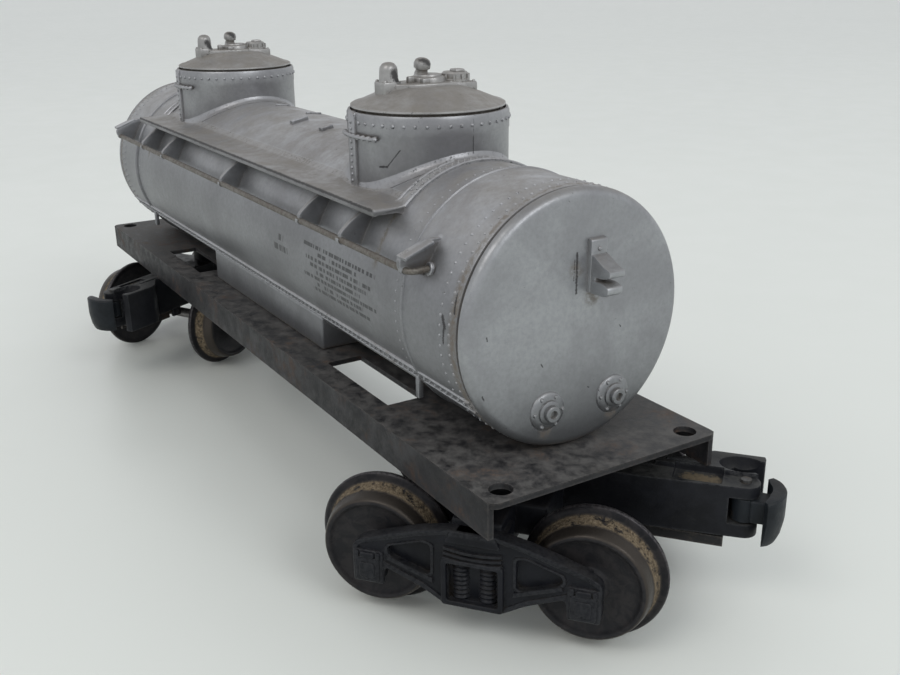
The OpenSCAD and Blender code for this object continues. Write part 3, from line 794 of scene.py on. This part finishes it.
def handrail_brackets():
    brackets = Piece("handrail_brackets")
    deep = [(13.2, 31.9), (16.4, 32.2), (19.6, 30.2), (21.1, 28.9), (21.5, 28.4), (21.4, 27.6), (20.9, 27.2),
            (19.4, 27.0), (17.8, 26.1)]
    flat = [(13.2, 31.2), (16.6, 31.4), (20.0, 30.3), (21.7, 29.5), (22.1, 29.0), (22.1, 28.0), (21.8, 27.4),
            (21.2, 27.2), (19.8, 26.9), (18.2, 26.2)]
    clip = rectangle(WIRE_R + 0.03, WIRE_R + 0.16, -0.45, 0.45)
    boss = [(0.56, -0.3), (1.0, -0.3), (1.0, 0.05), (0.85, 0.2), (0.56, 0.2)]
    for side in SIDES.values():
        for x in (-73, -53, -37.5, 0, 37.5, 53, 73):
            outline = flat if abs(x) > 70 else deep
            upright = Matrix(((0, 0, 1, x), (side, 0, 0, 0), (0, 1, 0, DECK), (0, 0, 0, 1)))
            lying = Matrix(((0, 0, 1, x), (0, side, 0, side * RAIL_Y), (1, 0, 0, RAIL_Z), (0, 0, 0, 1)))
            brackets.put(plate([smooth_corners(outline, 0.3, 2)], -0.5, 0.5, 0.12), upright)
            brackets.put(turned(clip, 14, ring=True, start=60, sweep=240), lying)
        for end in ENDS.values():
            shelf = block(end * 73.7 - 1.2, end * 73.7 + 1.2, -0.3, 0.3, -2.6, 2.6, 0.2)
            tilt = Matrix.Rotation(side * math.radians(69), 4, "X")
            brackets.put(shelf, moved(0, side * 19.6, DECK + 30.3) @ tilt)
            hole = (end * RAIL_END_X, side * 18.05, RAIL_Z)
            brackets.put(turned(boss, 16, ring=True), facing(hole, (0, side, 0.25)))
    brackets.make(SILVER, "wagon_body")


def rivet_angles(spacing, low, high, shift=0.0):
    step = math.degrees(spacing / TANK_R)
    angle = low + shift * step
    while angle <= high:
        yield angle
        angle += step


def tank_rivets():
    rivets = Piece("tank_rivets")
    chance = random.Random(11)

    def on_tank(x, angle, rise, radius, height):
        worn = chance.uniform(0.9, 1.06)
        place = facing(tank_surface(x, angle, rise), tank_normal(angle))
        rivets.put(rivet(radius * worn, height * worn, 7), place)

    def on_dome(end, angle, drop, lift, radius, height):
        point = Vector(dome_point(angle, -drop, end))
        outward = Vector((point.x - end * DOME_X, point.y, 0)).normalized()
        rivets.put(rivet(radius, height), facing(point + outward * lift, outward))

    for end in ENDS.values():
        for row, x in enumerate((79.3, 81.7)):
            for angle in rivet_angles(1.5, -60, 240, row / 2):
                on_tank(end * x, angle, 0.0, 0.26, 0.15)
        for angle in rivet_angles(1.6, -28, 208):
            on_tank(end * 66.3, angle, -0.16, 0.2, 0.1)
        for row, x in enumerate((58.55, 59.45)):
            for angle in rivet_angles(1.15, BOARD_ANGLE, 180 - BOARD_ANGLE, row / 2):
                on_tank(end * x, angle, 0.1, 0.24, 0.17)
        for k in range(46):
            worn = chance.uniform(0.85, 1.1)
            on_dome(end, 360 * k / 46, 1.55, 0.1, 0.33 * worn, 0.26 * worn)
        for k in range(15):
            on_dome(end, -95.5, 1.6 + 1.05 * k, 0.42, 0.3, 0.24)
    for k in range(103):
        for right in (False, True):
            for angle, shift in ((-31.9, 0.0), (-34.1, 0.8)):
                on_tank(-82.0 + 1.6 * k + shift, 180 - angle if right else angle, 0.06, 0.28, 0.2)
    rivets.make(SILVER, "wagon_body", crease=60)


def washout_plug(piece, place):
    profile = [(0, -0.6), (3.0, -0.6), (3.0, 0.14), (2.85, 0.36), (2.3, 0.56), (1.86, 0.62), (1.8, 0.9),
               (1.55, 1.04), (1.27, 1.08), (1.25, 1.66), (1.1, 1.8), (0.66, 1.8), (0.58, 1.66), (0.52, 1.2),
               (0, 1.15)]
    piece.put(turned(profile, 40), place)
    for k in range(6):
        piece.put(rivet(0.36, 0.36), place @ moved(*round_point(2.42, 60 * k + 30, 0.46)))


def tank_end(name, end):
    piece = Piece(f"tank_end_{name}_detail", HERE if end > 0 else HALF_TURN)
    corner = [(TANK_R - CAP_EDGE * (1 - math.cos(angle)), END_FACE - 0.06 - CAP_EDGE * (1 - math.sin(angle)))
              for angle in (math.radians(15 * k) for k in range(7))]
    groove = [(TANK_R + rise, TANK_HALF + x) for rise, x in (
        (-1.8, -2.9), (-1.8, 0.03), (-0.7, 0.03), (-0.6, 0.12), (-0.12, 0.2), (0, 0.38))]
    profile = [(0, TANK_HALF - 2.9), *groove, *corner,
               (TANK_R - 3.0, END_FACE), (TANK_R - 8.0, END_FACE + 0.05), (0, END_FACE + 0.1)]
    piece.put(turned(profile, 128), TANK_PLACE)
    for y in PLUG_Y:
        washout_plug(piece, moved(END_FACE, y, PLUG_Z) @ Matrix.Rotation(math.pi / 2, 4, "Y"))
    end_bracket(piece, moved(END_FACE, 0, DECK))
    piece.put(rivet(0.32, 0.35, 10), facing((END_FACE + 0.85, 2.85, DECK + 29.9), (1, 0, 0)))
    piece.make(SILVER_END, "wagon_body", [f"tank_end_{name}"])


def end_bracket(piece, place):
    """A riveted plate on the end, with an upper arm and a lower arm standing out from it."""
    sideways = Matrix(((1, 0, 0, 0), (0, 0, 1, 0), (0, 1, 0, 0), (0, 0, 0, 1)))
    plates = (
        ([(-0.3, 23.6), (0.7, 23.5), (0.85, 31.2), (0.4, 31.4), (-0.3, 31.4)], 1.4, 4.3),
        ([(0.2, 26.0), (3.2, 26.1), (4.8, 26.55), (4.9, 27.5), (3.4, 27.9), (1.3, 29.0), (0.5, 29.2)],
         1.5, 4.2),
        ([(0.2, 23.5), (3.6, 23.6), (4.5, 24.1), (4.5, 25.1), (3.0, 25.5), (0.5, 25.4)], 1.5, 4.2),
        ([(0.2, 25.0), (1.5, 25.0), (1.7, 26.6), (0.2, 26.8)], 1.6, 4.1),
    )
    for outline, low, high in plates:
        piece.put(plate([smooth_corners(outline, 0.35, 2)], low, high, 0.14), place @ sideways)


def dome_lid(name, end):
    lid = Piece(f"dome_lid_{name}_detail", moved(end * DOME_X, 0, LID_SEAT))
    rim = [(LID_R + out, z) for out, z in (
        (-1.2, -1.2), (-1.1, 0.26), (-0.1, 0.28), (0, 0.4), (-0.05, 0.66), (-0.4, 0.86), (-1.2, 1.06))]
    lid.put(turned([(0, -1.2), *rim, (9.0, 2.15), (6.4, 3.05), (5.4, 3.35), (3.0, 3.5), (0, 3.5)], 112))
    base_plate = [(-4.2, -6.4), (-2.6, -7.4), (0.9, -6.2), (2.6, -3.6), (3.2, 0.6), (3.0, 4.0), (2.4, 6.2),
                  (-2.6, 6.2), (-4.0, 3.4), (-4.3, -1.5)]
    lid.put(plate([smooth_corners(base_plate, 1.2)], 2.3, 3.95, 0.25, 2))
    lid.put(block(-3.2, 0.4, -8.3, -4.8, 1.6, 4.3, 0.25))
    knob = [(0, 3.9), (1.66, 3.9), (1.66, 4.4), (1.55, 4.8), (1.5, 6.0), (1.4, 6.6), (1.0, 7.1), (0.5, 7.3),
            (0, 7.35)]
    lid.put(turned(knob, 24), moved(-1.4, -6.5))
    cover = [(0, 3.6), (3.1, 3.6), (3.1, 4.35), (2.9, 4.7), (2.3, 4.85), (2.2, 5.1), (0, 5.2)]
    lid.put(turned(cover, 32), moved(-0.8, 0.6))
    valve = [(0, 0), (1.25, 0), (1.15, 0.9), (1.0, 1.3), (1.05, 1.6), (1.38, 1.8), (1.42, 2.5), (1.2, 3.0),
             (0.8, 3.25), (0, 3.3)]
    lid.put(turned(valve, 24), moved(-1.7, -0.3, 4.4) @ Matrix.Rotation(math.radians(14), 4, "Y"))
    lid.put(block(-2.6, 3.0, 2.5, 7.9, 1.9, 3.8, 0.3))
    drum = [(0, 3.6), (2.45, 3.6), (2.45, 4.1), (2.2, 4.3), (2.2, 5.05), (2.0, 5.3), (0, 5.35)]
    lid.put(turned(drum, 32), moved(0.2, 5.2))
    lid.put(block(-0.7, 1.4, 4.6, 6.5, 5.1, 5.75, 0.25))
    lid.put(block(-0.4, 0.5, -3.9, -2.7, 3.8, 5.0, 0.25))
    lid.put(block(1.1, 2.3, -2.2, -0.9, 3.8, 4.7, 0.2))
    for k in range(10):
        x, y, _ = round_point(2.33, 36 * k)
        lid.put(turned([(0, -0.3), (0.22, -0.3), (0.22, 0.75), (0, 0.8)], 7), moved(0.2 + x, 5.2 + y, 4.2))
    for x, y in ((-2.1, 3.0), (2.5, 3.0), (-2.1, 7.4), (2.5, 7.4), (-2.8, -7.9), (0.0, -7.9)):
        lid.put(rivet(0.3, 0.3), moved(x, y, 3.8 if y > 0 else 4.3))
    lid.make(SILVER_LID, "wagon_body", [f"dome_lid_{name}"], crease=38)


# ---------------------------------------------------------------- trucks
SIDE_INNER, SIDE_OUTER = 20.7, 22.7
HINGE = (truck_place("near").inverted() @ joint_mm("knuckle_near_hinge")).xy
SIDE_HALF = [(0, 5.7), (4.3, 5.7), (8.0, 7.9), (14.0, 10.3), (14.3, 7.4), (19.2, 7.4), (19.2, 13.6),
             (17.5, 14.6), (13.2, 16.0), (8.4, 17.5), (3.4, 18.6), (0, 18.6)]
INSET_HALF = [(0, 6.4), (4.0, 6.4), (7.8, 8.7), (13.8, 11.1), (14.9, 11.5), (15.0, 8.2), (18.4, 8.2),
              (18.4, 13.2), (17.1, 13.9), (12.9, 15.2), (8.2, 16.7), (3.3, 17.8), (0, 17.8)]
TOP_EDGE_HALF = [(0, 18.2), (3.5, 18.2), (8.4, 17.1), (13.2, 15.6), (17.4, 14.2), (17.6, 14.6), (13.2, 16.1),
                 (8.4, 17.6), (3.5, 18.6), (0, 18.6)]
WINDOW = [(6.6, 10.0), (6.6, 15.4), (8.0, 15.7), (13.3, 14.0), (13.6, 13.0), (12.9, 12.2)]
LEAF_HALF = 4.5                   # half the length of the leaf springs


def both_halves(half):
    return half + [(-x, z) for x, z in reversed(half[1:-1])]


def grown(outline, amount):
    """The outline moved outward from its middle by about the amount."""
    middle = sum((Vector(p) for p in outline), Vector((0, 0))) / len(outline)
    return [tuple(Vector(p) + (Vector(p) - middle).normalized() * amount) for p in outline]


def side_frame(truck, side):
    upright = Matrix(((1, 0, 0, 0), (0, 0, side, 0), (0, 1, 0, 0), (0, 0, 0, 1)))

    def put(shape, x=0.0, z=0.0):
        truck.put(shape, upright @ moved(x, z))

    outline = smooth_corners(both_halves(SIDE_HALF), 0.9, 3)
    inset = smooth_corners(both_halves(INSET_HALF), 0.7, 3)
    spring_hole = rectangle(-4.0, 4.0, 6.9, 13.2, 0.5)
    windows = [smooth_corners([(s * x, z) for x, z in WINDOW], 1.3, 4) for s in (1, -1)]
    put(plate([outline], SIDE_INNER, 21.6, 0.2))
    put(plate([outline, spring_hole, *windows], 21.2, 22.45, 0.2, 2))
    put(plate([outline, inset], 22.0, SIDE_OUTER, 0.14, 2))
    for window in windows:
        put(plate([smooth_corners(grown(window, 0.55), 0.2, 1), window], 22.0, 22.68, 0.12, 2))
    put(plate([rectangle(-4.8, 4.8, 6.1, 13.9, 0.6), spring_hole], 22.0, 23.3, 0.2, 2))
    turns = [(1.05 + 0.34 * abs(math.sin(math.pi * k / 4)), 6.9 + 6.2 * k / 32) for k in range(33)]
    for x in (-2.1, 2.1):
        truck.put(turned([(0, 6.9), *turns, (0, 13.1)], 20), moved(x, side * 21.35))
    for k in range(3):
        low = 13.25 + 0.72 * k
        leaf = [(x, low + 0.5 * (x / LEAF_HALF) ** 2) for x in (-4.5, -3.0, -1.5, 0, 1.5, 3.0, 4.5)]
        top = [(x, z + 0.5) for x, z in reversed(leaf)]
        put(plate([top + leaf], 22.0, 23.25 - 0.2 * k, 0.14, 2))
    cap = smooth_corners([(-4.3, 16.5), (4.3, 16.5), (3.4, 18.5), (-3.4, 18.5)], 0.5)
    put(plate([cap], 21.8, 22.95, 0.2, 2))
    for end in (1, -1):
        journal_box(put, end * HALF_BASE)
        rib = [(end * 6.2, 9.1), (end * 13.6, 11.7), (end * 13.4, 12.4), (end * 6.3, 9.9)]
        put(plate([rib], 22.2, 22.85, 0.12))
    put(plate([both_halves(TOP_EDGE_HALF)], SIDE_INNER - 0.25, SIDE_OUTER + 0.15, 0.12))


def journal_box(put, x):
    put(block(-2.45, 2.45, 7.2, 12.8, 21.8, 22.95, 0.35, 3), x)
    put(plate([rectangle(-1.95, 1.95, 7.6, 11.7, 0.7)], 22.7, 23.3, 0.2, 2), x)
    put(plate([rectangle(-1.25, 1.25, 8.3, 10.9, 0.5)], 22.9, 23.5, 0.18, 2), x)
    put(block(-1.15, 1.15, 11.6, 12.6, 22.6, 23.45, 0.3, 3), x)
    for lug in (-1, 1):
        put(block(lug * 1.7 - 0.35, lug * 1.7 + 0.35, 11.5, 12.7, 22.5, 23.3, 0.2), x)
    put(block(-0.3, 0.3, 8.0, 8.8, 23.1, 23.5, 0.14), x)


def coupler(name):
    body = Piece(f"coupler_{name}_detail", truck_place(name))
    hinge_x, hinge_y = HINGE
    nose = [(hinge_x + x, hinge_y + y) for x, y, _ in (round_point(2.2, 18 * k - 90) for k in range(11))]
    head = [(3, -3.4), (22, -3.4), *nose, (33.6, 2.4), (33.2, 3.3), (33.4, 4.6), (34.2, 5.4), (38.8, 5.5),
            (38.9, 6.3), (38.7, 7.2), (31.0, 7.2), (29.4, 6.6), (26, 3.4), (3, 3.4)]
    whole = plate([head], COUPLER_LOW, COUPLER_TOP + 0.3, 0.02, 0)
    step = block(-5, 45, -9, 0.9, COUPLER_TOP - 0.5, COUPLER_TOP + 3, 0.01, 1)
    back = block(-5, 22.5, 0.5, 9, COUPLER_TOP - 0.4, COUPLER_TOP + 3, 0.01, 1)
    trough = block(25.5, 33.0, -2.4, 1.6, COUPLER_TOP - 1.0, COUPLER_TOP + 2, 0.3)
    slot = block(hinge_x - 2.2, 39.5, -5, 1.7, 15.5, 19.9, 0.01, 1)
    scoop = turned([(0, -1), (0.5, -0.95), (0.85, -0.6), (1, 0), (0.85, 0.6), (0.5, 0.95), (0, 1)], 24)
    bmesh.ops.scale(scoop, verts=scoop.verts, vec=(3.9, 2.9, 3.4))
    bmesh.ops.translate(scoop, verts=scoop.verts, vec=(35.6, 3.6, COUPLER_TOP + 1.2))
    pin = turned([(0, -20), (0.85, -20), (0.85, 20), (0, 20)], 24)
    bmesh.ops.translate(pin, verts=pin.verts, vec=(hinge_x, hinge_y, COUPLER_TOP))
    body.put(finished(whole, [step, back, trough, slot, scoop, pin], 0.3, 3))
    body.put(block(24.0, 30.5, 2.0, 3.1, COUPLER_TOP - 0.2, COUPLER_TOP + 0.55, 0.25))
    for side in (-1, 1):
        body.put(block(18.5, 21.1, side * 3.0 - 0.4, side * 3.0 + 0.4, 11.3, 13.6, 0.15))
    body.make(COUPLER_BLACK, f"truck_{name}", crease=35)


def truck_moulding(name):
    truck = Piece(f"truck_frame_{name}_detail", truck_place(name))
    for side in SIDES.values():
        side_frame(truck, side)
    truck.put(block(-3.9, 3.9, -20.8, 20.8, 12.5, 19.6, 0.5, 3))
    truck.put(block(-9, 9, -13.5, 13.5, 14, 19.55, 0.6, 3))
    for side in SIDES.values():
        truck.put(block(-4.6, 4.6, side * 18.6 - 2.4, side * 18.6 + 2.4, 12.2, 18.2, 0.4, 2))
    truck.put(turned([(1.95, 12.6), (6, 12.6), (6, 24.7), (5.7, 25), (1.95, 25)], 48, ring=True))
    truck.make(TRUCK_BLACK, f"truck_{name}", [f"truck_frame_{name}"], crease=35)


def knuckle(name):
    piece = Piece(f"knuckle_{name}_detail", truck_place(name) @ moved(*HINGE))
    piece.put(turned(rectangle(0.85, 1.9, 15.8, 19.6), 32, ring=True))
    arm = [(0.9, -1.9), (4.6, -1.9), (5.4, -1.3), (5.4, 0.8), (4.4, 1.7), (0.9, 1.9)]
    piece.put(plate([smooth_corners(arm, 0.5, 3)], 15.85, 19.55, 0.3, 2))
    rows = []
    steps = 16
    bottom = 13.3
    for k in range(steps + 1):
        t = k / steps
        tip = max(0.0, t - 0.85) / 0.15
        top = 21.1 - 0.2 * max(0.0, 0.15 - t) / 0.15
        inner = 4.0 + 0.9 * max(0.0, 0.3 - t) / 0.3 + 0.5 * tip
        outer = 6.08 - 0.2 * max(0.0, 0.12 - t) / 0.12 - 0.3 * tip
        ring = [(inner, bottom), (outer - 0.9, bottom), (outer - 0.42, 14.5), (outer - 0.1, 16.3),
                (outer, 17.2), (outer, top - 0.3), (outer - 0.3, top), (inner, top)]
        rows.append([round_point(r, 98 * t - 52, z) for r, z in ring])
    piece.put(finished(skin(rows, close_columns=True, caps=True), edge=0.18))
    piece.make(KNUCKLE_BLACK, f"knuckle_{name}", [f"knuckle_{name}"], crease=38)


WHEEL_BACK = 14.2                 # from the truck's middle to a wheel's back face
WHEEL_PROFILE = (                 # (radius, distance from the back face)
    (1.2, 0.15), (9.4, 0.15), (9.8, 0), (10.5, 0), (10.85, 0.15), (11.0, 0.5), (11.0, 0.85), (10.8, 1.1),
    (10.3, 1.3), (9.75, 1.42), (9.52, 1.6), (9.46, 1.95), (9.4, 2.3), (9.3, 2.8), (9.22, 3.3), (9.14, 3.8),
    (9.05, 4.3), (8.88, 4.9), (8.75, 5.3), (8.6, 5.62), (8.35, 5.8), (8.0, 5.8), (7.8, 5.72), (7.65, 5.35),
    (7.2, 5.05), (6.2, 4.85), (4.3, 4.7), (3.2, 4.62), (2.95, 4.8), (2.7, 5.35), (2.4, 5.5), (1.2, 5.5),
)


def wheel(end, row, side):
    direction = 1 if side == "right" else -1
    axle_x = HALF_BASE if row == "outer" else -HALF_BASE
    upright = Matrix.Rotation(math.radians(-90 * direction), 4, "X")
    place = truck_place(end) @ moved(axle_x, 0, AXLE_Z) @ upright @ moved(0, 0, WHEEL_BACK)
    chance = random.Random(f"{end}{row}{side}")
    steps = 96
    rows = []
    for i in range(steps):
        points = []
        for r, h in WHEEL_PROFILE:
            crust = chance.uniform(-0.02, 0.09) if 1.5 < h < 3.4 and r > 9 else 0
            points.append(round_point(r + crust, 360 * i / steps, h))
        rows.append(points)
    node = f"wheel_{end}_{row}_{side}"
    piece = Piece(f"{node}_detail", place)
    piece.put(skin(rows, close_rows=True, close_columns=True))
    made = piece.make(WHEEL, f"wheelset_{end}_{row}", [node], crease=50)
    back = place.inverted()
    span = made.data.attributes.new("span", "FLOAT", "POINT")
    width = made.data.attributes.new("width", "FLOAT", "POINT")
    for i, vertex in enumerate(made.data.vertices):
        local = back @ (vertex.co / MM)
        span.data[i].value = math.hypot(local.x, local.y)
        width.data[i].value = local.z


# ---------------------------------------------------------------- carried-over CAD pieces
def dress(node, material, edge=0.0):
    """Gives a CAD node its material, and rounds its sharp edges."""
    held = frame["nodes"][node]
    held.data.materials.clear()
    held.data.materials.append(material)
    if edge:
        soften(held, edge * MM, 4, 40).harden_normals = True


def build():
    tank_shell()
    dome_walls()
    running_boards()
    handrail_brackets()
    tank_rivets()
    for name, end in ENDS.items():
        tank_end(name, end)
        dome_lid(name, end)
        truck_moulding(name)
        coupler(name)
        knuckle(name)
        for row in ("outer", "inner"):
            dress(f"axle_{name}_{row}", AXLE)
            for side in SIDES:
                wheel(name, row, side)
        dress(f"pivot_pin_{name}", STEEL, 0.2)
        dress(f"pivot_washer_{name}", STEEL, 0.15)
        dress(f"knuckle_pin_{name}", KNUCKLE_PIN, 0.15)
        dress(f"flap_pin_{name}", STEEL)
        dress(f"uncoupler_flap_{name}", FLAP_BLACK, 0.12)
    for side in SIDES:
        dress(f"handrail_{side}", WIRE)
    dress("frame_plate", FRAME_BLACK, 0.42)
    dress("tank_screws", STEEL, 0.2)


# ---------------------------------------------------------------- stage
def floor():
    mesh = bpy.data.meshes.new("floor")
    outline = rectangle(-FLOOR_REACH, FLOOR_REACH, -FLOOR_REACH, FLOOR_REACH)
    mesh.from_pydata([(x, y, 0) for x, y in outline], [], [(0, 1, 2, 3)])
    s = Surface("floor_pale")
    colour = s.mix(s.noise(0.004, 3, 0.5), (0.775, 0.80, 0.765), (0.815, 0.84, 0.80))
    mesh.materials.append(s.finish(colour, s.step(s.noise(0.05), 0.3, 0.7, 0.32, 0.42)))
    linked("floor", mesh)


def light(name, spot, aim, size, power, colour):
    lamp = bpy.data.lights.new(name, "AREA")
    lamp.shape = "RECTANGLE"
    lamp.size, lamp.size_y = size
    lamp.energy = power
    lamp.color = colour
    holder = linked(name, lamp)
    holder.location = spot
    holder.rotation_euler = (Vector(aim) - Vector(spot)).to_track_quat("-Z", "Y").to_euler()


SKY_LOW, SKY_HIGH = 0.90, 0.59    # brightness of the surroundings at the horizon and overhead


def lights():
    world = bpy.data.worlds.new("studio")
    world.use_nodes = True
    tree = world.node_tree
    sky = tree.nodes["Background"]
    direction = tree.nodes.new("ShaderNodeTexCoord")
    parts = tree.nodes.new("ShaderNodeSeparateXYZ")
    ramp = tree.nodes.new("ShaderNodeMapRange")
    tree.links.new(direction.outputs["Generated"], parts.inputs[0])
    tree.links.new(parts.outputs[2], ramp.inputs["Value"])
    ramp.inputs["To Min"].default_value = SKY_LOW
    ramp.inputs["To Max"].default_value = SKY_HIGH
    tree.links.new(ramp.outputs[0], sky.inputs["Strength"])
    sky.inputs["Color"].default_value = (0.96, 0.98, 1.0, 1)
    bpy.context.scene.world = world
    light("key", (0.25, -0.75, 0.95), (0.02, 0, 0.04), (0.6, 0.45), 2.5, (1.0, 0.98, 0.95))
    light("window", (0.95, 0.15, 0.8), (0.05, 0, 0.04), (0.5, 0.4), 3.0, (0.97, 0.99, 1.0))
    bpy.context.scene.view_settings.view_transform = "Standard"


CAMERA_SPOT = (0.19468, -0.08827, 0.09626)
CAMERA_ANGLES = (58.515, 19.964, -0.719)       # azimuth from -Y towards +X, elevation and roll
CAMERA_LENS = 41.32                            # for a sensor 36 wide
FLOOR_REACH = 6.0


def camera():
    """At the photograph's viewing angle."""
    azimuth, elevation, roll = (math.radians(angle) for angle in CAMERA_ANGLES)
    back = Vector((math.sin(azimuth) * math.cos(elevation), -math.cos(azimuth) * math.cos(elevation),
                   math.sin(elevation)))
    right = (-back).cross(Vector((0, 0, 1))).normalized()
    up = right.cross(-back)
    side = right * math.cos(roll) + up * math.sin(roll)
    top = up * math.cos(roll) - right * math.sin(roll)
    lens = bpy.data.cameras.new("camera")
    lens.lens = CAMERA_LENS
    lens.sensor_width = 36.0
    lens.clip_start = 0.005
    holder = linked("camera", lens)
    holder.matrix_world = moved(*CAMERA_SPOT) @ Matrix((side, top, back)).transposed().to_4x4()
    bpy.context.scene.camera = holder


build()
floor()
lights()
camera()
